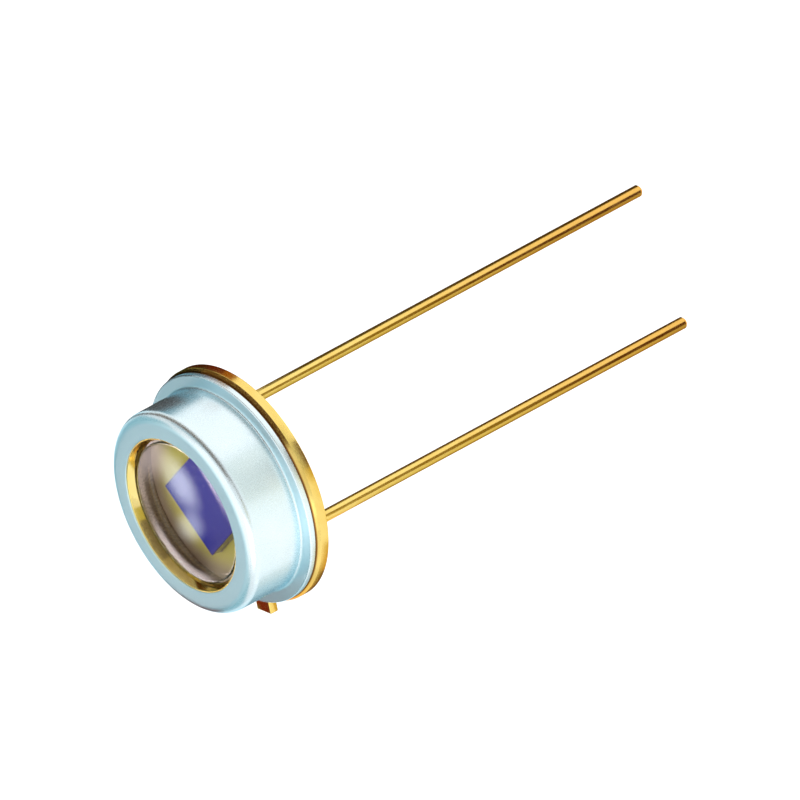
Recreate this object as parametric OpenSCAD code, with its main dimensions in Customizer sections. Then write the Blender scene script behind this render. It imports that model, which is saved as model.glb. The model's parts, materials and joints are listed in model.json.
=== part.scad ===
// Photodiode in a round metal can with a glass window and two wire leads.
// Millimetres. The origin is the centre of the header's seating plane, +Z points out of the window,
// the leads run along -Z and stand on the X axis.

/* [Leads] */
// Diameter of the circle that the leads stand on
lead_circle_d = 5.08; // [4.8:0.02:5.6]
// Diameter of the plated lead wire
lead_d = 0.45; // [0.4:0.01:0.55]
// Thickness of the plating, which the sealed stretches of wire lack
plating_t = 0.005; // [0.003:0.001:0.01]
// Length of the cathode lead below the seating plane
cathode_lead_l = 20.45; // [8:0.05:40]
// Length of the anode lead below the seating plane
anode_lead_l = 18.8; // [8:0.05:40]
// Bevel at the cut end of each lead
lead_tip_bevel = 0.07; // [0.03:0.01:0.12]

/* [Lead seals] */
// Diameter of the glass bead around the anode lead
bead_d = 1.3; // [1.1:0.05:1.6]
// Depth of the dished glass at each end of the bead
bead_dish = 0.06; // [0.03:0.01:0.1]
// Platform left standing outside the bead
bead_margin = 0.21; // [0.15:0.01:0.4]
// Diameter of the braze socket around the cathode lead
braze_d = 0.9; // [0.75:0.05:1.2]
// Depth of the braze socket
braze_depth = 0.25; // [0.15:0.01:0.4]
// Depth of the dished braze at the mouth of its socket
braze_dish = 0.05; // [0.02:0.01:0.08]

/* [Header] */
// Height of the header's straight rim
rim_h = 0.35; // [0.25:0.01:0.5]
// Width of the bevel from the rim in to the cap's flange
rim_bevel_w = 0.1; // [0.05:0.01:0.2]
// Height of the bevel above the rim
rim_bevel_h = 0.17; // [0.1:0.01:0.25]
// Height of the chip platform above the welding face
platform_rise = 0.63; // [0.4:0.01:0.9]
// Radius of the platform's upper edge
platform_edge_r = 0.1; // [0.05:0.01:0.15]

/* [Index tab] */
// Width of the index tab
tab_w = 0.8; // [0.6:0.05:1]
// Length of the index tab beyond the rim
tab_l = 0.64; // [0.4:0.01:1]
// Angle of the index tab from the anode lead
tab_angle = -45; // [-90:1:90]

/* [Chip] */
// Side of the square chip
chip_w = 3.04; // [2:0.01:3.6]
// Thickness of the chip
chip_h = 0.37; // [0.2:0.01:0.5]
// Turn of the chip on the platform, as it was set down
chip_turn = -2.5; // [-5:0.5:5]
// Thickness of the layer that fixes the chip
die_attach_h = 0.03; // [0.01:0.005:0.06]
// How far that layer spreads beyond the chip
die_attach_margin = 0.04; // [0.01:0.01:0.1]

/* [Bond wire] */
// Height of the anode lead's bonding post above the platform
post_h = 0.4; // [0.2:0.01:0.6]
// Diameter of the bond wire
wire_d = 0.03; // [0.02:0.005:0.05]
// Diameter of the ball that starts the wire on the chip
ball_d = 0.09; // [0.06:0.005:0.12]
// Height of the flattened ball
ball_h = 0.04; // [0.03:0.005:0.06]
// Distance of the ball from the chip's edges
pad_inset = 0.2; // [0.1:0.01:0.4]
// Height of the wire's loop
wire_loop_h = 0.18; // [0.1:0.01:0.3]
// Room between the top of the loop and the window
wire_clear = 0.23; // [0.08:0.01:0.5]

/* [Cap] */
// Thickness of the cap's sheet
cap_t = 0.25; // [0.2:0.01:0.3]
// Gap between the chip platform and the cap's wall
cap_gap = 0.35; // [0.25:0.01:0.6]
// Width of the cap's welding flange
cap_flange_w = 0.5; // [0.4:0.01:0.7]
// Outer radius of the rounded front edge
cap_front_r = 0.45; // [0.32:0.01:0.5]
// Radius where the wall turns out into the flange
cap_root_r = 0.1; // [0.05:0.01:0.3]
// Width of the front ring, from the wall in to the clear opening
cap_ring_w = 1; // [0.85:0.01:1.3]

/* [Window] */
// Thickness of the glass disc at its edge
window_t = 0.7; // [0.5:0.01:1]
// Gap between the glass disc and the cap's wall
window_gap = 0.25; // [0.15:0.01:0.3]
// Rise of the domed glass into the opening
window_rise = 0.16; // [0.1:0.01:0.24]
// Radius of the gentle dome
window_dome_r = 100; // [60:1:200]
// Gap between the dome's edge and the opening
window_dome_gap = 0.24; // [0.2:0.01:0.4]
// Thickness of the seal between glass and cap
seal_t = 0.15; // [0.08:0.01:0.2]
// Thickness of the seal's lip, which lines the opening
seal_lip_t = 0.05; // [0.02:0.01:0.1]
// How far the lip's foot slopes in over the glass
seal_foot_w = 0.15; // [0.08:0.01:0.18]
// How far the seal's lip stays below the cap's front
seal_lip_gap = 0.04; // [0.02:0.01:0.08]
// How far the seal stays inside the edge of the glass
seal_setback = 0.05; // [0.02:0.01:0.1]

/* [Hidden] */
$fn = 96;
lead_r = lead_d / 2;
bare_r = lead_r - plating_t;
lead_x = lead_circle_d / 2;
bead_r = bead_d / 2;
braze_r = braze_d / 2;

// Radii, from the lead circle outwards
platform_r = lead_x + bead_r + bead_margin;
cap_inner_r = platform_r + cap_gap;
cap_r = cap_inner_r + cap_t;
cap_flange_r = cap_r + cap_flange_w;
header_r = cap_flange_r + rim_bevel_w;
window_r = cap_inner_r - window_gap;
opening_r = cap_r - cap_ring_w;
window_dome_edge_r = opening_r - window_dome_gap;

// Heights, from the seating plane up
weld_z = rim_h + rim_bevel_h;
platform_z = weld_z + platform_rise;
chip_z = platform_z + die_attach_h;
chip_top_z = chip_z + chip_h;
ball_top_z = chip_top_z + ball_h;
post_top_z = platform_z + post_h;
window_z = max(ball_top_z, post_top_z) + wire_loop_h + wire_clear;
seal_z = window_z + window_t;
cap_ceiling_z = seal_z + seal_t;
cap_front_z = cap_ceiling_z + cap_t;

// Cuts run past the faces that they open
cut = 1;

// Bond wire, as rings of points along an arch from the ball to the post
wire_sides = 8;
wire_steps = 16;
wire_r = wire_d / 2;
wire_stitch_h = wire_r * 0.4;
ball_r = ball_d / 2;
pad_xy = (chip_w / 2 - pad_inset) * sqrt(2) * [cos(45 + chip_turn), sin(45 + chip_turn)];
wire_run = [lead_x, 0] - pad_xy;
wire_dir = wire_run / norm(wire_run);
wire_side = [-wire_dir.y, wire_dir.x, 0];
stitch_z = post_top_z + wire_stitch_h * cos(180 / wire_sides);
// The arch peaks a third of the way along, where sqrt(t) * (1 - t) is largest
arch_gain = wire_loop_h / (sqrt(1 / 3) * 2 / 3);

function arch_z(t) = ball_top_z + (stitch_z - ball_top_z) * t + arch_gain * sqrt(t) * (1 - t);
function arch_point(t) = [pad_xy.x + wire_run.x * t, pad_xy.y + wire_run.y * t, arch_z(t)];
function arch_tilt(t) = let (a = max(t - 0.001, 0), b = min(t + 0.001, 1))
    atan2(arch_z(b) - arch_z(a), norm(wire_run) * (b - a));

// A ring of the wire: its centre, half width, half height and the wire's tilt there
function ring(centre, half_w, half_h, tilt) = [
    for (i = [0 : wire_sides - 1])
        let (a = (i + 0.5) * 360 / wire_sides,
             up = [-sin(tilt) * wire_dir.x, -sin(tilt) * wire_dir.y, cos(tilt)])
            centre + wire_side * half_w * cos(a) + up * half_h * sin(a)
];
function ball_ring(z, r) = ring([pad_xy.x, pad_xy.y, z], r, r, 90);
function arch_ring(t) = ring(arch_point(t), wire_r, wire_r, arch_tilt(t));

wire_rings = concat(
    [
        ball_ring(chip_top_z, ball_r * 0.8),
        ball_ring(chip_top_z + ball_h * 0.4, ball_r),
        ball_ring(ball_top_z, ball_r * 0.6)
    ],
    [for (i = [1 : wire_steps - 1]) arch_ring(pow(i / wire_steps, 2))],
    [ring(arch_point(1), wire_r * 1.5, wire_stitch_h, 0)]
);

gold = [0.85, 0.63, 0.2];

// Fills the corner at the origin between +X and +Y, and so also cuts a corner round
module fillet(r) {
    difference() {
        square(r);
        translate([r, r])
            circle(r);
    }
}

// A flat ring from r0 to r1 and up to h, dished at its lower end and, if both, at its upper end
module dished_ring(r0, r1, h, dish, both) {
    half_w = (r1 - r0) / 2;
    dish_r = (half_w * half_w + dish * dish) / (2 * dish);
    rotate_extrude()
        difference() {
            translate([r0, 0])
                square([r1 - r0, h]);
            for (z = both ? [dish - dish_r, h - dish + dish_r] : [dish - dish_r])
                translate([r0 + half_w, z])
                    circle(dish_r);
        }
}

// A lead from its cut tip up to top, with no plating from the seating plane to the end of its seal
module lead(length, seal_top, top) {
    rotate_extrude()
        polygon(concat(
            [
                [lead_r, -length + lead_tip_bevel],
                [lead_r, 0],
                [bare_r, 0],
                [bare_r, seal_top]
            ],
            top > seal_top ? [[lead_r, seal_top], [lead_r, top]] : [],
            [
                [0, top],
                [0, -length],
                [lead_r - lead_tip_bevel, -length]
            ]
        ));
}

// Stamped base: flange, index tab and chip platform in one piece
module header() {
    color(gold)
    difference() {
        union() {
            rotate_extrude()
                difference() {
                    polygon([
                        [0, 0],
                        [header_r, 0],
                        [header_r, rim_h],
                        [cap_flange_r, weld_z],
                        [platform_r, weld_z],
                        [platform_r, platform_z],
                        [0, platform_z]
                    ]);
                    translate([platform_r, platform_z])
                        rotate(180)
                            fillet(platform_edge_r);
                }
            rotate(tab_angle)
                translate([platform_r, -tab_w / 2, 0])
                    cube([header_r + tab_l - platform_r, tab_w, rim_h]);
        }
        translate([lead_x, 0, -cut])
            cylinder(r = bead_r, h = platform_z + 2 * cut);
        translate([-lead_x, 0, -cut])
            cylinder(r = braze_r, h = braze_depth + cut);
    }
}

// Glass that holds the anode lead in the header and insulates it
module glass_bead() {
    color([0.2, 0.3, 0.3])
        translate([lead_x, 0, 0])
            dished_ring(bare_r, bead_r, platform_z, bead_dish, true);
}

// Insulated lead, whose upper end is the bonding post
module anode_lead() {
    color(gold)
        translate([lead_x, 0, 0])
            lead(anode_lead_l, platform_z, post_top_z);
}

// Lead that is joined to the header
module cathode_lead() {
    color(gold)
        translate([-lead_x, 0, 0])
            lead(cathode_lead_l, braze_depth, braze_depth);
}

// Braze that fills the cathode lead's socket
module cathode_braze() {
    color([0.75, 0.6, 0.3])
        translate([-lead_x, 0, 0])
            dished_ring(bare_r, braze_r, braze_depth, braze_dish, false);
}

// Thin layer between chip and platform
module die_attach() {
    side = chip_w + 2 * die_attach_margin;
    color("silver")
        rotate(chip_turn)
            translate([-side / 2, -side / 2, platform_z])
                cube([side, side, die_attach_h]);
}

// Square silicon die
module photodiode_chip() {
    color([0.28, 0.24, 0.62])
        rotate(chip_turn)
            translate([-chip_w / 2, -chip_w / 2, chip_z])
                cube([chip_w, chip_w, chip_h]);
}

// Fine wire with a ball on the chip and a flattened stitch on the post
module bond_wire() {
    last = len(wire_rings) - 1;
    sides = [
        for (i = [0 : last - 1], j = [0 : wire_sides - 1])
            let (a = i * wire_sides + j,
                 b = i * wire_sides + (j + 1) % wire_sides)
                each [[a, a + wire_sides, b], [b, a + wire_sides, b + wire_sides]]
    ];
    start_face = [for (j = [0 : wire_sides - 1]) j];
    end_face = [for (j = [wire_sides - 1 : -1 : 0]) last * wire_sides + j];
    color(gold)
        polyhedron(
            points = [for (r = wire_rings) each r],
            faces = concat(sides, [start_face, end_face])
        );
}

// Drawn can with a welding flange and a round opening in its front
module cap() {
    bend_r = cap_root_r + cap_t;
    height = cap_front_z - weld_z;
    ceiling = cap_ceiling_z - weld_z;
    color([0.68, 0.78, 0.82])
        translate([0, 0, weld_z])
            rotate_extrude()
                difference() {
                    union() {
                        square([cap_r, height]);
                        square([cap_flange_r, cap_t]);
                        translate([cap_r, cap_t])
                            fillet(cap_root_r);
                    }
                    translate([cap_r, height])
                        rotate(180)
                            fillet(cap_front_r);
                    difference() {
                        translate([0, -cut])
                            square([cap_inner_r, ceiling + cut]);
                        translate([cap_inner_r, ceiling])
                            rotate(180)
                                fillet(cap_front_r - cap_t);
                    }
                    translate([cap_inner_r, 0])
                        fillet(bend_r);
                    translate([0, ceiling - cut])
                        square([opening_r + seal_lip_t, cap_t + 2 * cut]);
                }
}

// Sealing ring between glass and cap, with a sloping lip that lines the opening
module window_seal() {
    lip_h = cap_front_z - seal_lip_gap - seal_z;
    color([0.8, 0.65, 0.25])
        translate([0, 0, seal_z])
            rotate_extrude()
                translate([opening_r, 0])
                    polygon([
                        [-seal_foot_w, 0],
                        [window_r - seal_setback - opening_r, 0],
                        [window_r - seal_setback - opening_r, seal_t],
                        [seal_lip_t, seal_t],
                        [seal_lip_t, lip_h],
                        [0, lip_h]
                    ]);
}

// Glass disc whose middle stands up into the opening, with a gently domed face
module window() {
    top = window_t + window_rise;
    color([0.8, 0.85, 0.85, 0.4])
        translate([0, 0, window_z])
            rotate_extrude() {
                square([window_r, window_t]);
                intersection() {
                    translate([0, top - window_dome_r])
                        circle(window_dome_r, $fn = 2880);
                    square([window_dome_edge_r, top]);
                }
            }
}

header();
glass_bead();
anode_lead();
cathode_lead();
cathode_braze();
die_attach();
photodiode_chip();
bond_wire();
cap();
window_seal();
window();
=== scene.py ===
# Photodiode in a windowed metal can: finishes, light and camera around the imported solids
import json
import math

import bmesh
import bpy
from mathutils import Matrix, Vector


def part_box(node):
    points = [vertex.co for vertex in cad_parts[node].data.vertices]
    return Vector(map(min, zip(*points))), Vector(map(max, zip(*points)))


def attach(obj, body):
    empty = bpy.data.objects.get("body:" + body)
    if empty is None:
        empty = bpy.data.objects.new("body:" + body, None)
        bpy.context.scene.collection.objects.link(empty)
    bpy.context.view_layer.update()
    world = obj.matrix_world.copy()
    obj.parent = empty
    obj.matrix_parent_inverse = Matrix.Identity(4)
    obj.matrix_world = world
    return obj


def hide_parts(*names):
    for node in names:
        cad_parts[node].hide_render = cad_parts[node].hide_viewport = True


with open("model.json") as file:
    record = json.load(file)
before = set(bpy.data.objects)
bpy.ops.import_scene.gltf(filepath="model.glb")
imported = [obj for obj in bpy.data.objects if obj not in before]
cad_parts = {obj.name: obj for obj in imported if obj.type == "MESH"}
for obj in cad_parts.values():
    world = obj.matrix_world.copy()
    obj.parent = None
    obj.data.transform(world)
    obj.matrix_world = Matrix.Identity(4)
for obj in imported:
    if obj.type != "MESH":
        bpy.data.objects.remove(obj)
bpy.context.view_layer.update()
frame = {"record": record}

# Sizes, in millimetres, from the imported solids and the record's mounts
MM = 0.001


def node_box(node):
    """A node's lowest and highest corner, in millimetres"""
    low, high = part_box(node)
    return low / MM, high / MM


def mount_sizes(name):
    """The stated sizes of one mount of the record"""
    return next(m["dims"] for m in frame["record"]["mounts"] if m["name"] == name)


cap_low, cap_high = node_box("cap")
header_high = node_box("header")[1]
window_low, window_high = node_box("window")
seal_high = node_box("window_seal")[1]
chip_low, chip_high = node_box("photodiode_chip")
layer_low, layer_high = node_box("die_attach")
bead_low, bead_high = node_box("glass_bead")
braze_low, braze_high = node_box("cathode_braze")
anode_low, anode_high = node_box("anode_lead")
cathode_low = node_box("cathode_lead")[0]

lead_x = mount_sizes("leads")["pcd_mm"] / 2
lead_r = mount_sizes("leads")["stud_r_mm"]
cap_r = mount_sizes("can_body")["r_mm"]
flange_r = cap_high.y
weld_z = cap_low.z
front_z = cap_high.z
platform_z = header_high.z
header_r = header_high.y
chip_top_z = chip_high.z
chip_turn = math.radians(-2.5)
turned_spread = math.cos(chip_turn) + abs(math.sin(chip_turn))
chip_w = (chip_high.x - chip_low.x) / turned_spread
layer_w = (layer_high.x - layer_low.x) / turned_spread
bead_r = (bead_high.x - bead_low.x) / 2
braze_r = (braze_high.x - braze_low.x) / 2
glass_r = window_high.y
glass_top_z = window_high.z

sheet_t = 0.25
root_z = weld_z + sheet_t
root_r = 0.1
front_r = 0.45
front_ring_w = 1.0
cap_inner_r = cap_r - sheet_t
ceiling_z = front_z - sheet_t
opening_r = cap_r - front_ring_w
weld_edge_r = 0.04
flange_edge_r = 0.06
opening_edge_r = 0.03
seal_t = 0.15
seal_lip_t = 0.05
seal_foot_w = 0.15
seal_edge_r = 0.02
shoulder_z = ceiling_z - seal_t
platform_gap = 0.35
platform_r = cap_inner_r - platform_gap
platform_edge_r = 0.1
rim_h = 0.35
rim_edge_r = 0.03
seat_edge_r = 0.02
tab_w = 0.8
tab_l = 0.64
tab_edge_r = 0.04
tab_angle = math.radians(-45)
plating_t = 0.005
bare_r = lead_r - plating_t
tip_bevel = 0.07
bead_dish = 0.06
braze_dish = 0.05
chip_edge_r = 0.012
sawn_border_w = 0.05
pad_inset = 0.2
pad_half_w = 0.09
ball_h = 0.04
ball_r = 0.045
wire_r = 0.015
wire_loop_h = 0.18
dome_r = 100
dome_gap = 0.24
dome_edge_r = opening_r - dome_gap
glass_edge_r = 0.05
glass_ior = 1.47
coating_cut = 0.4

ROUND = 256
SMALL_ROUND = 64
WIRE_SIDES = 12
WIRE_STEPS = 48
DISH_STEPS = 8
DOME_STEPS = 32
CARD_STEPS = 24
SHARP = math.radians(32)
ARC_STEP = math.radians(7.5)


# Meshes

def outline(corners, closed=True):
    """Points of a profile given as (distance from the axis, height, rounding) corners"""
    points = []
    last = len(corners) - 1
    for i, (r, z, rounding) in enumerate(corners):
        here = Vector((r, z))
        if rounding == 0 or (not closed and i in (0, last)):
            points.append((r, z))
            continue
        before = (Vector(corners[i - 1][:2]) - here).normalized()
        after = (Vector(corners[(i + 1) % len(corners)][:2]) - here).normalized()
        half = before.angle(after) / 2
        centre = here + (before + after).normalized() * (rounding / math.sin(half))
        start = here + before * (rounding / math.tan(half)) - centre
        sweep = math.pi - 2 * half
        turn = -1 if before.x * after.y - before.y * after.x > 0 else 1
        steps = max(2, math.ceil(sweep / ARC_STEP))
        for k in range(steps + 1):
            spoke = Matrix.Rotation(turn * sweep * k / steps, 2) @ start
            points.append(tuple(centre + spoke))
    return points


def turned(points, segments, closed=True, at=0.0):
    """A bmesh turned about an upright line on the X axis. Flat faces close an open profile"""
    build = bmesh.new()
    angles = [2 * math.pi * i / segments for i in range(segments)]
    rings = []
    for r, z in points:
        if r == 0:
            rings.append([build.verts.new((at, 0, z))] * segments)
        else:
            rings.append([build.verts.new((at + r * math.cos(a), r * math.sin(a), z)) for a in angles])
    pairs = list(zip(rings, rings[1:]))
    if closed:
        pairs.append((rings[-1], rings[0]))
    for low, high in pairs:
        for i in range(segments):
            j = (i + 1) % segments
            corners = dict.fromkeys([low[i], low[j], high[j], high[i]])
            build.faces.new(list(corners))
    if not closed:
        for ring in (rings[0], rings[-1]):
            if ring[0] is not ring[1]:
                build.faces.new(ring)
    return build


def block(low, high, bevel):
    """A bmesh of a box with narrow rounded edges"""
    build = bmesh.new()
    size = Vector(high) - Vector(low)
    middle = (Vector(high) + Vector(low)) / 2
    place = Matrix.Translation(middle) @ Matrix.Diagonal((*size, 1))
    bmesh.ops.create_cube(build, size=1, matrix=place)
    bmesh.ops.bevel(build, geom=build.edges[:], offset=bevel, segments=3, profile=0.5, affect="EDGES")
    return build


def spun(build, angle):
    """The same bmesh after a turn about the can's axis"""
    turn = Matrix.Rotation(angle, 3, "Z")
    bmesh.ops.rotate(build, cent=(0, 0, 0), matrix=turn, verts=build.verts)
    return build


def swept(rings):
    """A bmesh through rings of points, with closed ends"""
    build = bmesh.new()
    made = [[build.verts.new(point) for point in ring] for ring in rings]
    for low, high in zip(made, made[1:]):
        for i in range(len(low)):
            j = (i + 1) % len(low)
            build.faces.new([low[i], low[j], high[j], high[i]])
    build.faces.new(made[0])
    build.faces.new(made[-1])
    return build


def combined(base, *steps):
    """The bmesh base after booleans with other bmeshes, each given as (operation, bmesh)"""
    objects = []
    for build in [base] + [other for _, other in steps]:
        bmesh.ops.recalc_face_normals(build, faces=build.faces)
        mesh = bpy.data.meshes.new("boolean_work")
        build.to_mesh(mesh)
        build.free()
        work = bpy.data.objects.new("boolean_work", mesh)
        bpy.context.scene.collection.objects.link(work)
        objects.append(work)
    for (operation, _), work in zip(steps, objects[1:]):
        cut = objects[0].modifiers.new("cut", "BOOLEAN")
        cut.operation = operation
        cut.object = work
        cut.solver = "EXACT"
    bpy.context.view_layer.update()
    result = objects[0].evaluated_get(bpy.context.evaluated_depsgraph_get())
    build = bmesh.new()
    build.from_mesh(result.to_mesh())
    result.to_mesh_clear()
    for work in objects:
        mesh = work.data
        bpy.data.objects.remove(work)
        bpy.data.meshes.remove(mesh)
    return build


def piece_of(name, build, node, finish):
    """A piece that stands for a solid, from a bmesh in millimetres, smooth but for its sharp edges"""
    bmesh.ops.recalc_face_normals(build, faces=build.faces)
    bmesh.ops.scale(build, vec=(MM, MM, MM), verts=build.verts)
    mesh = bpy.data.meshes.new(name)
    build.to_mesh(mesh)
    build.free()
    mesh.shade_smooth()
    mesh.set_sharp_from_angle(angle=SHARP)
    mesh.materials.append(finish)
    piece = bpy.data.objects.new(name, mesh)
    bpy.context.scene.collection.objects.link(piece)
    keep_flats = piece.modifiers.new("keep_flats", "WEIGHTED_NORMAL")
    keep_flats.keep_sharp = True
    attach(piece, "root")
    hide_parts(node)


# Shader nodes

class Value:
    """A shader socket that takes part in Python expressions"""

    def __init__(self, finish, socket):
        self.finish = finish
        self.socket = socket

    def math(self, operation, first, second=0.0):
        return self.finish.node("ShaderNodeMath", {"operation": operation}, {0: first, 1: second})

    def __add__(self, other):
        return self.math("ADD", self, other)

    __radd__ = __add__

    def __sub__(self, other):
        return self.math("SUBTRACT", self, other)

    def __rsub__(self, other):
        return self.math("SUBTRACT", other, self)

    def __mul__(self, other):
        return self.math("MULTIPLY", self, other)

    __rmul__ = __mul__

    def __gt__(self, other):
        return self.math("GREATER_THAN", self, other)

    def __lt__(self, other):
        return self.math("LESS_THAN", self, other)

    def __abs__(self):
        return self.math("ABSOLUTE", self)

    def at_least(self, other):
        return self.math("MAXIMUM", self, other)

    def at_most(self, other):
        return self.math("MINIMUM", self, other)


class Finish:
    """A node tree under construction, for a material or for the world"""

    def __init__(self, owner):
        owner.use_nodes = True
        self.tree = owner.node_tree
        self.tree.nodes.clear()

    def node(self, kind, settings=None, inputs=None, output=0):
        """Adds a node, sets it up, feeds its sockets and returns one of its outputs"""
        made = self.tree.nodes.new(kind)
        for name, setting in (settings or {}).items():
            setattr(made, name, setting)
        for name, value in (inputs or {}).items():
            if isinstance(value, Value):
                self.tree.links.new(value.socket, made.inputs[name])
            else:
                made.inputs[name].default_value = value
        return Value(self, made.outputs[output]) if made.outputs else made

    def place(self):
        """Where a surface point is, in millimetres in the part's own frame"""
        coords = self.node("ShaderNodeTexCoord", output="Object")
        return self.node("ShaderNodeVectorMath", {"operation": "SCALE"}, {0: coords, "Scale": 1 / MM})

    def axis(self, vector, name):
        """One of the three numbers of a vector"""
        return self.node("ShaderNodeSeparateXYZ", inputs={0: vector}, output=name)

    def stretched(self, vector, stretch):
        """A vector multiplied axis by axis"""
        return self.node("ShaderNodeVectorMath", {"operation": "MULTIPLY"}, {0: vector, 1: stretch})

    def length(self, vector):
        """How long a vector is"""
        return self.node("ShaderNodeVectorMath", {"operation": "LENGTH"}, {0: vector}, "Value")

    def noise(self, vector, scale, detail=3.0):
        """Soft noise from 0 to 1, with its scale in features per millimetre"""
        sockets = {"Vector": vector, "Scale": scale, "Detail": detail, "Roughness": 0.55}
        return self.node("ShaderNodeTexNoise", inputs=sockets)

    def between(self, value, low, high, to_low=0.0, to_high=1.0):
        """A value taken smoothly from one range to another, and held at the ends"""
        settings = {"clamp": True, "interpolation_type": "SMOOTHSTEP"}
        sockets = {0: value, 1: low, 2: high, 3: to_low, 4: to_high}
        return self.node("ShaderNodeMapRange", settings, sockets)

    def mix(self, factor, first, second):
        """One colour blended into another"""
        sockets = {"Factor": factor, 6: first, 7: second}
        return self.node("ShaderNodeMix", {"data_type": "RGBA"}, sockets, output=2)

    def bump(self, height, depth, strength):
        """A normal from a height that runs from 0 to 1 over a depth in millimetres"""
        sockets = {"Height": height, "Distance": depth * MM, "Strength": strength}
        return self.node("ShaderNodeBump", inputs=sockets)

    def ray(self, kind):
        """Whether a ray is of a kind, such as Camera"""
        return self.node("ShaderNodeLightPath", output=f"Is {kind} Ray")

    def seen(self):
        """1 for rays that show a background, straight, in metal or through glass, and else 0"""
        return (self.ray("Camera") + self.ray("Glossy") + self.ray("Transmission")).at_most(1.0)

    def principled(self, inputs):
        return self.node("ShaderNodeBsdfPrincipled", inputs=inputs)

    def surface(self, shader):
        self.node("ShaderNodeOutputMaterial", inputs={"Surface": shader})


def new_finish(name):
    """A new material, and its node tree to build"""
    made = bpy.data.materials.new(name)
    return made, Finish(made)


def rgb(red, green, blue):
    return (red, green, blue, 1.0)


plate_bright = rgb(0.81, 0.61, 0.185)
plate_deep = rgb(0.79, 0.56, 0.15)


def gold_finish(name, streaks, rough, bright=plate_bright, deep=plate_deep, satin=1.0):
    """Gold plating, satin inside the can and redder down the leads, with painted shade in the crease
    under the cap's flange. The streaks stretch its grain
    """
    made, f = new_finish(name)
    place = f.place()
    z = f.axis(place, "Z")
    radius = f.length(f.stretched(place, (1, 1, 0)))
    inside = (radius < cap_inner_r) * (z > weld_z - 0.01) * satin
    at_flange = (radius > flange_r - flange_edge_r) * (radius < flange_r + 0.1)
    # Painted shade: a dark line on the header where the cap's flange meets it, for the shadow in that
    # crease
    weld_crease_shade = f.between(abs(z - weld_z), 0.02, 0.07, 1.0, 0.0) * at_flange
    grain = f.noise(f.stretched(place, streaks), 14.0, 4.0)
    cloud = f.noise(place, 1.1, 2.0)
    base = f.mix(f.between(cloud, 0.3, 0.7), bright, deep)
    base = f.mix(f.between(z, -20, -3, 1.0, 0.0), base, rgb(0.66, 0.38, 0.085))
    base = f.mix(weld_crease_shade, base, rgb(0.22, 0.09, 0.02))
    floor = f.mix(f.between(radius, 2.3, 3.3), rgb(0.80, 0.72, 0.2), rgb(0.62, 0.5, 0.36))
    base = f.mix(inside, base, floor)
    outside_roughness = f.between(grain, 0.25, 0.75, rough * 0.8, rough * 1.25)
    f.surface(f.principled({
        "Base Color": base,
        "Metallic": 1 - inside * 0.7,
        "Roughness": outside_roughness.at_least(inside * 0.55),
        "Specular Tint": rgb(1.0, 0.55, 0.3),
        "Normal": f.bump(grain, 0.004, rough * 1.5),
    }))
    return made


def nickel_finish():
    """Satin nickel on the drawn cap, a little bluer on the flange as painted shade, and with a warm
    mauve-brown inside wall painted lighter near the ceiling and darker towards the bottom as shade
    """
    made, f = new_finish("satin_nickel")
    place = f.place()
    z = f.axis(place, "Z")
    radius = f.length(f.stretched(place, (1, 1, 0)))
    inside = (radius < cap_inner_r + 0.05) * (z < ceiling_z + 0.02)
    grain = f.noise(f.stretched(place, (1, 1, 0.35)), 22.0)
    cloud = f.noise(place, 0.7, 2.0)
    outer = f.mix(f.between(cloud, 0.3, 0.7), rgb(0.70, 0.81, 0.85), rgb(0.74, 0.84, 0.87))
    # The flat front and the flange are satin: rougher and a little bluer. On the flange and the foot of
    # the root fillet the bluer tint is painted shade
    flange = (z < root_z + root_r) * (radius > cap_r + 0.02) * (radius < flange_r - flange_edge_r)
    satin = f.between(z, front_z - 0.06, front_z - 0.005).at_least(flange)
    outer = f.mix(satin, outer, rgb(0.65, 0.82, 0.87))
    # Painted shade: the inside wall is a warm mauve-brown, lighter near the ceiling and darker towards
    # the bottom
    height = f.between(z, platform_z, window_low.z)
    inside_wall_painted_shade = f.mix(height, rgb(0.68, 0.54, 0.4), rgb(0.8, 0.68, 0.62))
    f.surface(f.principled({
        "Base Color": f.mix(inside, outer, inside_wall_painted_shade),
        "Metallic": 0.9 - inside * 0.7,
        "Roughness": f.between(grain, 0.25, 0.75, 0.25, 0.3) + satin * 0.16,
        "Specular Tint": rgb(0.5, 0.8, 0.9),
        "Normal": f.bump(grain, 0.002, 0.1),
    }))
    return made


def chip_finish():
    """Polished silicon under a blue-violet coating, with a sawn border and a bond pad"""
    made, f = new_finish("coated_silicon")
    turned_back = {0: f.place(), "Angle": -chip_turn}
    place = f.node("ShaderNodeVectorRotate", {"rotation_type": "Z_AXIS"}, turned_back)
    x = f.axis(place, "X")
    y = f.axis(place, "Y")
    border = abs(x).at_least(abs(y)) > chip_w / 2 - sawn_border_w
    sides = f.axis(place, "Z") < chip_top_z - 0.02
    pad_middle = chip_w / 2 - pad_inset
    pad = abs(x - pad_middle).at_least(abs(y - pad_middle)) < pad_half_w
    cloud = f.noise(place, 0.5, 1.0)
    coat = f.mix(f.between(cloud, 0.3, 0.7), rgb(0.018, 0.028, 0.36), rgb(0.016, 0.032, 0.35))
    base = f.mix(border, coat, rgb(0.018, 0.022, 0.25))
    base = f.mix(pad, base, rgb(0.85, 0.82, 0.75))
    base = f.mix(sides, base, rgb(0.42, 0.38, 0.22))
    f.surface(f.principled({
        "Base Color": base,
        "Roughness": 0.3,
        "Specular IOR Level": 0.2,
        "Coat Weight": 0.12,
        "Coat Roughness": 0.12,
    }))
    return made


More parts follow.
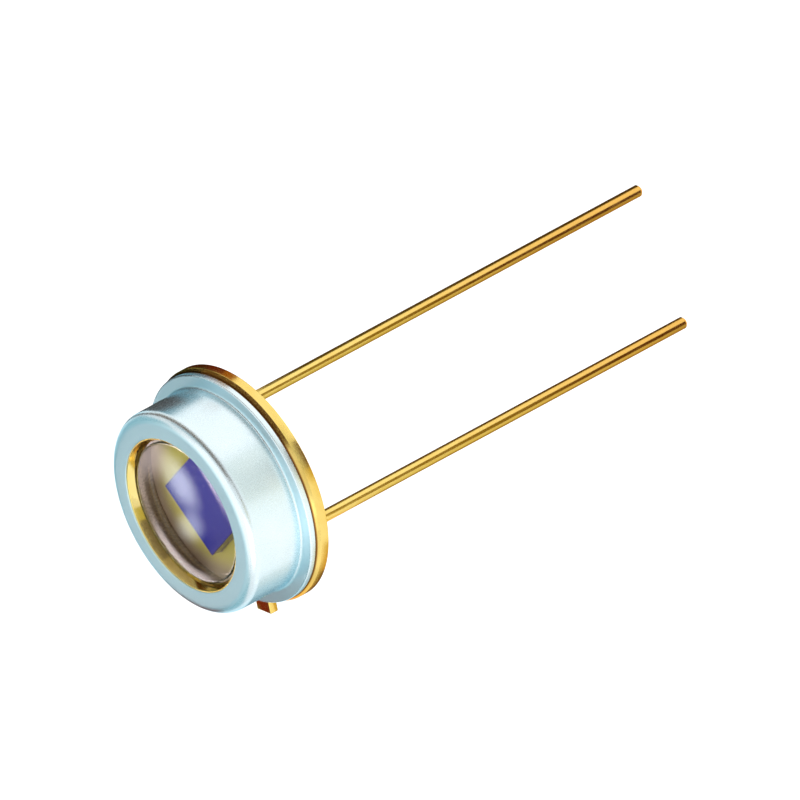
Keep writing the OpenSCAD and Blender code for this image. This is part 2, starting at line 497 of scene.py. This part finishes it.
def window_glass_finish():
    """Clear window glass that lets the lamps shine in. A coating on its front cuts reflections"""
    made, f = new_finish("window_glass")
    place = f.place()
    smudge = f.noise(place, 1.4, 2.0)
    front = f.axis(place, "Z") > shoulder_z + 0.05
    tint = rgb(0.97, 0.97, 0.96)
    glass = f.principled({
        "Base Color": tint,
        "Roughness": f.between(smudge, 0.4, 0.8, 0.0, 0.03),
        "IOR": glass_ior,
        "Transmission Weight": 1.0,
    })
    see_through = {"Color": tint, "Roughness": 0.0, "IOR": glass_ior}
    clear = f.node("ShaderNodeBsdfRefraction", inputs=see_through)
    coated = f.node("ShaderNodeMixShader", inputs={0: front * coating_cut, 1: glass, 2: clear})
    open_air = f.node("ShaderNodeBsdfTransparent", inputs={0: rgb(0.9, 0.9, 0.89)})
    f.surface(f.node("ShaderNodeMixShader", inputs={0: f.ray("Shadow"), 1: coated, 2: open_air}))
    return made


def bead_glass_finish():
    """Dark fused sealing glass"""
    made, f = new_finish("sealing_glass")
    swirl = f.noise(f.place(), 4.0)
    f.surface(f.principled({
        "Base Color": f.mix(f.between(swirl, 0.3, 0.7), rgb(0.34, 0.29, 0.12), rgb(0.42, 0.36, 0.16)),
        "Roughness": 0.08,
        "Coat Weight": 0.5,
    }))
    return made


def bond_layer_finish():
    """Silver-filled bonding layer"""
    made, f = new_finish("bonding_layer")
    flakes = f.noise(f.place(), 40.0)
    f.surface(f.principled({
        "Base Color": f.mix(flakes, rgb(0.42, 0.38, 0.28), rgb(0.68, 0.63, 0.5)),
        "Metallic": 0.8,
        "Roughness": 0.45,
        "Normal": f.bump(flakes, 0.005, 0.6),
    }))
    return made


header_gold = gold_finish("header_gold", (1, 1, 1), 0.2)
lead_gold = gold_finish("lead_gold", (1, 1, 0.08), 0.2)
seal_bright = rgb(0.84, 0.68, 0.26)
seal_deep = rgb(0.8, 0.63, 0.22)
seal_gold = gold_finish("seal_gold", (1, 1, 1), 0.1, seal_bright, seal_deep, satin=0.0)
braze_gold = gold_finish("braze_gold", (2, 2, 2), 0.32)


# Header: stamped flange with its tab and chip platform, cut for the lead seals

def header_piece():
    base = turned(outline([
        (header_r - 0.1, 0, 0),
        (header_r, 0, rim_edge_r),
        (header_r, rim_h, rim_edge_r),
        (flange_r, weld_z, seat_edge_r),
        (platform_r, weld_z, 0),
        (platform_r, platform_z, platform_edge_r),
        (platform_r - 0.2, platform_z, 0),
    ], closed=False), ROUND, closed=False)
    tab_block = block((platform_r, -tab_w / 2, 0), (header_r + tab_l, tab_w / 2, rim_h), tab_edge_r)
    tab = spun(tab_block, tab_angle)
    bead_hole = turned([(bead_r, -1), (bead_r, platform_z + 1)], SMALL_ROUND, closed=False, at=lead_x)
    socket = turned([(braze_r, -1), (braze_r, braze_high.z)], SMALL_ROUND, closed=False, at=-lead_x)
    build = combined(base, ("UNION", tab), ("DIFFERENCE", bead_hole), ("DIFFERENCE", socket))
    piece_of("header_base", build, "header", header_gold)


def dished(inner_r, outer_r, top_z, dish, both):
    """The profile of a ring from the seating plane up, dished at its lower end or at both"""
    half = (outer_r - inner_r) / 2
    steps = [i / DISH_STEPS - 1 for i in range(2 * DISH_STEPS + 1)]
    bottom = [(inner_r + half + half * s, dish * (1 - s * s)) for s in steps]
    top = [(outer_r, top_z), (inner_r, top_z)]
    if both:
        top = [(inner_r + half - half * s, top_z - dish * (1 - s * s)) for s in steps]
    return bottom + top


def lead_piece(name, node, at, tip_z, seal_top, top_z):
    """A lead from its cut tip up, slimmer by its plating where it is sealed"""
    corners = [
        (lead_r - tip_bevel, tip_z, 0),
        (lead_r, tip_z + tip_bevel, 0.03),
        (lead_r, 0, 0),
        (bare_r, 0, 0),
        (bare_r, seal_top, 0),
    ]
    if top_z > seal_top:
        corners += [(lead_r, seal_top, 0), (lead_r, top_z, 0.02), (lead_r - 0.05, top_z, 0)]
    build = turned(outline(corners, closed=False), SMALL_ROUND, closed=False, at=at)
    piece_of(name, build, node, lead_gold)


header_piece()
bead = turned(dished(bare_r, bead_r, platform_z, bead_dish, both=True), SMALL_ROUND, at=lead_x)
piece_of("bead_seal", bead, "glass_bead", bead_glass_finish())
braze = turned(dished(bare_r, braze_r, braze_high.z, braze_dish, both=False), SMALL_ROUND, at=-lead_x)
piece_of("braze_ring", braze, "cathode_braze", braze_gold)
lead_piece("anode_wire", "anode_lead", lead_x, anode_low.z, platform_z, anode_high.z)
lead_piece("cathode_wire", "cathode_lead", -lead_x, cathode_low.z, braze_high.z, braze_high.z)


# Chip, the layer under it and the wire from its pad to the post

def bond_wire_piece():
    pad = Matrix.Rotation(chip_turn, 3, "Z") @ Vector((1, 1, 0)) * (chip_w / 2 - pad_inset)
    run = Vector((lead_x, 0, 0)) - pad
    along = run.normalized()
    side = Vector((-along.y, along.x, 0))
    ball_top_z = chip_top_z + ball_h
    stitch_h = wire_r * 0.4
    stitch_z = anode_high.z + stitch_h
    gain = wire_loop_h / (math.sqrt(1 / 3) * 2 / 3)
    angles = [2 * math.pi * (i + 0.5) / WIRE_SIDES for i in range(WIRE_SIDES)]

    def arch(t):
        rise = ball_top_z + (stitch_z - ball_top_z) * t + gain * math.sqrt(t) * (1 - t)
        return pad + run * t + Vector((0, 0, rise))

    def ring(centre, half_w, half_h, up):
        return [centre + side * (half_w * math.cos(a)) + up * (half_h * math.sin(a)) for a in angles]

    ball = [(0, 0.8), (0.4, 1), (0.75, 0.9), (1, 0.6)]
    rings = []
    for height, width in ball:
        centre = pad + Vector((0, 0, chip_top_z + ball_h * height))
        rings.append(ring(centre, ball_r * width, ball_r * width, -along))
    for i in range(2, WIRE_STEPS):
        t = (i / WIRE_STEPS) ** 2
        tangent = (arch(min(t + 0.001, 1)) - arch(t - 0.001)).normalized()
        rings.append(ring(arch(t), wire_r, wire_r, side.cross(tangent) * -1))
    rings.append(ring(arch(1), wire_r * 1.5, stitch_h, Vector((0, 0, 1))))
    piece_of("chip_wire", swept(rings), "bond_wire", lead_gold)


def set_down(width, low_z, high_z):
    """A square block on the platform, turned as the chip is"""
    square = block((-width / 2, -width / 2, low_z), (width / 2, width / 2, high_z), chip_edge_r)
    return spun(square, chip_turn)


layer = set_down(layer_w, layer_low.z, layer_high.z)
piece_of("bond_layer", layer, "die_attach", bond_layer_finish())
die = set_down(chip_w, chip_low.z, chip_high.z)
piece_of("silicon_die", die, "photodiode_chip", chip_finish())
bond_wire_piece()

# Cap, seal and window
cap = turned(outline([
    (flange_r, weld_z, weld_edge_r),
    (flange_r, root_z, flange_edge_r),
    (cap_r, root_z, root_r),
    (cap_r, front_z, front_r),
    (opening_r + seal_lip_t, front_z, opening_edge_r),
    (opening_r + seal_lip_t, ceiling_z, 0),
    (cap_inner_r, ceiling_z, front_r - sheet_t),
    (cap_inner_r, weld_z, root_r + sheet_t),
]), ROUND)
piece_of("cap_shell", cap, "cap", nickel_finish())

seal = turned(outline([
    (opening_r - seal_foot_w, shoulder_z, 0),
    (seal_high.y, shoulder_z, 0),
    (seal_high.y, ceiling_z, seal_edge_r),
    (opening_r + seal_lip_t, ceiling_z, 0),
    (opening_r + seal_lip_t, seal_high.z, seal_edge_r),
    (opening_r, seal_high.z, seal_edge_r),
]), ROUND)
piece_of("seal_ring", seal, "window_seal", seal_gold)

dome_drop = dome_r - math.sqrt(dome_r ** 2 - dome_edge_r ** 2)
dome_radii = [(dome_edge_r - 0.1) * (1 - i / DOME_STEPS) for i in range(DOME_STEPS + 1)]
dome = [(r, glass_top_z - dome_r + math.sqrt(dome_r ** 2 - r ** 2)) for r in dome_radii]
glass_edge = outline([
    (glass_r - 0.2, window_low.z, 0),
    (glass_r, window_low.z, glass_edge_r),
    (glass_r, shoulder_z, glass_edge_r),
    (dome_edge_r, shoulder_z, 0.02),
    (dome_edge_r, glass_top_z - dome_drop, 0.03),
    (*dome[0], 0),
], closed=False)
window = turned(glass_edge + dome[1:], ROUND, closed=False)
piece_of("window_glass", window, "window", window_glass_finish())


# Camera, with a roll because level lines lean in the picture. Angles are counted from the can's axis
view_turn = math.radians(13.4)
view_off_axis = math.radians(60)
view_roll = math.radians(28.38)
picture_px = 800
px_per_mm = 27.8
aim_z = -7.21
aim_aside = 0.085
camera_distance = 200

up_axis = Vector((0, 0, 1))
near = Vector((math.sin(view_turn), math.cos(view_turn), 0))
aside = Vector((math.cos(view_turn), -math.sin(view_turn), 0))
to_camera = near * math.sin(view_off_axis) + up_axis * math.cos(view_off_axis)
leads_way = near * math.cos(view_off_axis) - up_axis * math.sin(view_off_axis)
camera_right = leads_way * math.cos(view_roll) + aside * math.sin(view_roll)
camera_up = leads_way * math.sin(view_roll) - aside * math.cos(view_roll)

camera_data = bpy.data.cameras.new("camera")
camera_data.type = "ORTHO"
camera_data.ortho_scale = picture_px / px_per_mm * MM
camera_data.clip_start = 0.001
camera_data.clip_end = 10
camera = bpy.data.objects.new("camera", camera_data)
aim = up_axis * aim_z + aside * aim_aside
turn_matrix = Matrix((camera_right, camera_up, to_camera)).transposed().to_4x4()
camera.matrix_world = Matrix.Translation((aim + to_camera * camera_distance) * MM) @ turn_matrix
bpy.context.scene.collection.objects.link(camera)
bpy.context.scene.camera = camera
bpy.context.scene.view_settings.view_transform = "Standard"


# Stage: white floor and surroundings, soft boxes, and cards that only metal and glass reflect
floor_w = 4000
floor_z = -80
sky_level = 0.4
box_distance = 110
lip_distance = 92


def facing(azimuth, elevation, distance):
    """A place and turn that face the can, from an angle aside of the camera and a height angle"""
    a = math.radians(azimuth)
    e = math.radians(elevation)
    way = (near * math.cos(a) + aside * math.sin(a)) * math.cos(e) + up_axis * math.sin(e)
    place = up_axis * ((weld_z + front_z) / 2) + way * distance
    return Matrix.Translation(place * MM) @ way.to_track_quat("Z", "Y").to_matrix().to_4x4()


def stage_sheet(name, build, finish):
    """A sheet that belongs to the stage and not to the part"""
    mesh = bpy.data.meshes.new(name)
    build.to_mesh(mesh)
    build.free()
    mesh.materials.append(finish)
    sheet = bpy.data.objects.new(name, mesh)
    bpy.context.scene.collection.objects.link(sheet)
    return sheet


def flat_sheet(name, width, height, finish):
    """A flat stage sheet about its own middle"""
    build = bmesh.new()
    place = Matrix.Diagonal((width * MM, height * MM, 1, 1))
    bmesh.ops.create_grid(build, x_segments=1, y_segments=1, size=0.5, matrix=place)
    return stage_sheet(name, build, finish)


def only_reflected(sheet):
    """Hides a stage sheet from the camera, from shadows and from light on matt surfaces"""
    sheet.visible_camera = False
    sheet.visible_shadow = False
    sheet.visible_diffuse = False


def card(name, azimuth, elevation, distance, width, height, colour, spots=()):
    """A flat coloured card that shows only in reflections, with spots from soft to sharp.
    A spot is a middle, half sizes, the share that is full and a colour"""
    made, f = new_finish(name)
    place = f.place()
    for middle, half, full, spot_colour in spots:
        shift = f.node("ShaderNodeVectorMath", {"operation": "SUBTRACT"}, {0: place, 1: (*middle, 0)})
        away = f.length(f.stretched(shift, (1 / half[0], 1 / half[1], 0)))
        colour = f.mix(f.between(away, full, 1.0, 1.0, 0.0), colour, spot_colour)
    f.surface(f.node("ShaderNodeEmission", inputs={"Color": colour, "Strength": 1.0}))
    sheet = flat_sheet(name, width, height, made)
    sheet.matrix_world = facing(azimuth, elevation, distance)
    only_reflected(sheet)


def soft_box(name, azimuth, elevation, width, height, level):
    """A soft lamp with a black back, whose face is as bright as the level, where 1 is white"""
    data = bpy.data.lights.new(name, "AREA")
    data.shape = "RECTANGLE"
    data.size = width * MM
    data.size_y = height * MM
    data.energy = level * math.pi * data.size * data.size_y
    lamp = bpy.data.objects.new(name, data)
    lamp.matrix_world = facing(azimuth, elevation, box_distance)
    bpy.context.scene.collection.objects.link(lamp)
    card(name + "_back", azimuth, elevation, box_distance + 1, width, height, rgb(0, 0, 0))


def mirror_card(name, radius, heights, tilts, turns, distance, colour):
    """A card that only metal and glass show, placed where a turned surface mirrors it to the camera.
    Heights and tilts are the surface's, for the card's lower and upper edge, and turns run along it"""
    made, f = new_finish(name)
    f.surface(f.node("ShaderNodeEmission", inputs={"Color": colour, "Strength": 1.0}))
    build = bmesh.new()
    rows = []
    for i in range(CARD_STEPS + 1):
        turn = math.radians(turns[0] + (turns[1] - turns[0]) * i / CARD_STEPS)
        outward = near * math.cos(turn) + aside * math.sin(turn)
        row = []
        for z, tilt in zip(heights, tilts):
            normal = outward * math.sin(math.radians(tilt)) + up_axis * math.cos(math.radians(tilt))
            mirrored = normal * (2 * normal.dot(to_camera)) - to_camera
            row.append(build.verts.new((outward * radius + up_axis * z + mirrored * distance) * MM))
        rows.append(row)
    for here, there in zip(rows, rows[1:]):
        build.faces.new([here[0], there[0], there[1], here[1]])
    only_reflected(stage_sheet(name, build, made))


def rim_card(name, turns, colour, tilts=(97, 90), distance=12):
    """A card for a stretch of the header's rim"""
    mirror_card(name, header_r, (0, rim_h), tilts, turns, distance, colour)


def back_rim_card(name, turns, colour):
    """A card close behind the rim, for a stretch that is seen at a low angle"""
    rim_card(name, turns, colour, tilts=(102, 85), distance=4)


def bevel_card(name, turns, colour):
    """A card for a stretch of the header's bevel, just behind the seal's cards"""
    mirror_card(name, header_r, (rim_h, weld_z), (63, 53), turns, lip_distance + 1, colour)


def lead_card(name, heights, turns, distance, colour):
    """A card for a stretch of both leads"""
    mirror_card(name, 0, heights, (95, 90), turns, distance, colour)


def wall_card(name, turns, distance, colour):
    """A card for a stretch of the cap's wall"""
    mirror_card(name, cap_r, (root_z, front_z - front_r), (90, 78), turns, distance, colour)


def lip_card(name, turns, colour):
    """A card for a stretch of the sloping seal in the opening"""
    mirror_card(name, opening_r, (shoulder_z, seal_high.z), (-69.6, -65.4), turns, lip_distance, colour)


def white_floor():
    made, f = new_finish("white_floor")
    matt = f.principled({"Base Color": rgb(0.8, 0.8, 0.8), "Roughness": 0.9})
    glow = f.node("ShaderNodeEmission", inputs={"Color": rgb(1, 1, 1), "Strength": f.seen() * 0.8})
    f.surface(f.node("ShaderNodeAddShader", inputs={0: matt, 1: glow}))
    floor = flat_sheet("floor", floor_w, floor_w, made)
    floor.location.z = floor_z * MM


def white_surroundings():
    world = bpy.data.worlds.new("surroundings")
    bpy.context.scene.world = world
    f = Finish(world)
    level = f.seen() * (1 - sky_level) + sky_level
    sky = f.node("ShaderNodeBackground", inputs={"Color": rgb(1, 1, 1), "Strength": level})
    f.node("ShaderNodeOutputWorld", inputs={"Surface": sky})


white_floor()
white_surroundings()
soft_box("right_soft_box", 72, -12, 175, 110, 1.28)
soft_box("left_soft_box", -65, -12, 130, 110, 1.28)
soft_box("front_soft_box", 0, 90, 140, 140, 1.35)
soft_box("upper_soft_box", 68, 38, 90, 60, 2.0)
dark_warm = rgb(0.11, 0.05, 0.03)
front_spots = [
    ((0, 0), (48, 48), 0.5, dark_warm),
    ((-5.4, -6.5), (6.35, 6.6), 0.0, rgb(4.6, 3.8, 3.5)),
    ((7.15, -7.1), (9.8, 7.4), 0.5, rgb(9.9, 8.6, 8.7)),
    ((0, 0.84), (7.4, 9.0), 0.84, dark_warm),
    ((-7.6, -1.5), (4.2, 8.5), 0.3, rgb(5.3, 4.5, 4.5)),
    ((8.0, 2.5), (4.4, 7.5), 0.3, rgb(2.6, 2.1, 1.5)),
    ((1.35, 0.4), (2.1, 5.0), 0.1, rgb(6.0, 6.3, 6.45)),
]
card("front_card", 180, 30, 170, 368, 184, rgb(0.28, 0.55, 0.61), front_spots)
card("tab_card", 151.7, 9.9, 9, 4, 4, rgb(0.2, 0.012, 0.004))
card("flange_card", -60, 37, 95, 150, 24, rgb(0.45, 0.6, 0.65))
back_rim_card("rim_back_card", (-106, -66), rgb(0.05, 0.007, 0.003))
back_rim_card("rim_upper_card", (-66, -55), rgb(0.12, 0.008, 0.0))
back_rim_card("rim_edge_card", (-55, -47), rgb(0.36, 0.13, 0.0))
rim_card("rim_near_card", (-5.5, 8), rgb(0.1, 0.02, 0.002))
rim_card("rim_glow_card", (8, 14), rgb(0.78, 0.58, 0.06))
rim_card("rim_light_card", (14, 23), rgb(1.2, 1.1, 0.8))
rim_card("rim_low_card", (46, 64), rgb(0.77, 0.54, 0.09))
rim_card("rim_side_card", (64, 88), rgb(0.14, 0.08, 0.04))
bevel_card("bevel_back_card", (-112, -76), rgb(0.015, 0.012, 0.008))
bevel_card("bevel_near_card", (-76, -5), rgb(0.09, 0.035, 0.003))
root_heights = (root_z, root_z + root_r)
mirror_card("root_card", cap_r, root_heights, (30, 75), (-112, -62), 2.5, rgb(0.02, 0.015, 0.015))
wall_card("wall_back_card", (-88, -57), 12, rgb(0.12, 0.33, 0.4))
wall_card("wall_near_card", (-14, 11), 12, rgb(0.95, 1.0, 0.95))
wall_card("wall_light_card", (11, 24), 12, rgb(1.25, 1.28, 1.25))
wall_card("wall_low_card", (57, 65), 30, rgb(0.8, 0.85, 0.82))
wall_card("wall_side_card", (65, 75), 30, rgb(0.57, 0.7, 0.73))
wall_card("wall_edge_card", (75, 88), 30, rgb(0.16, 0.3, 0.35))
lip_card("lip_low_card", (115, 158), rgb(0.36, 0.31, 0.24))
lip_card("lip_dark_card", (158, 190), rgb(0.18, 0.15, 0.12))
lip_card("lip_glow_card", (190, 200), rgb(0.57, 0.52, 0.15))
lead_card("lead_back_card", (-21, -1), (-88, -38), 12, rgb(0.1, 0.08, 0.02))
lead_card("lead_root_card", (-7, 0), (-3, 20), 30, rgb(0.35, 0.25, 0.03))
lead_card("lead_middle_card", (-14, -7), (0, 24), 30, rgb(0.15, 0.06, 0.002))
lead_card("lead_tip_card", (-21, -14), (2, 28), 30, rgb(0.08, 0.01, 0.0))
lead_card("lead_low_card", (-13, -2), (24, 46), 30, rgb(0.95, 0.92, 0.6))
lead_card("lead_edge_card", (-13, -2), (46, 88), 30, rgb(0.5, 0.48, 0.2))
lead_card("lead_shade_card", (-21, -13), (28, 88), 30, rgb(0.55, 0.5, 0.25))
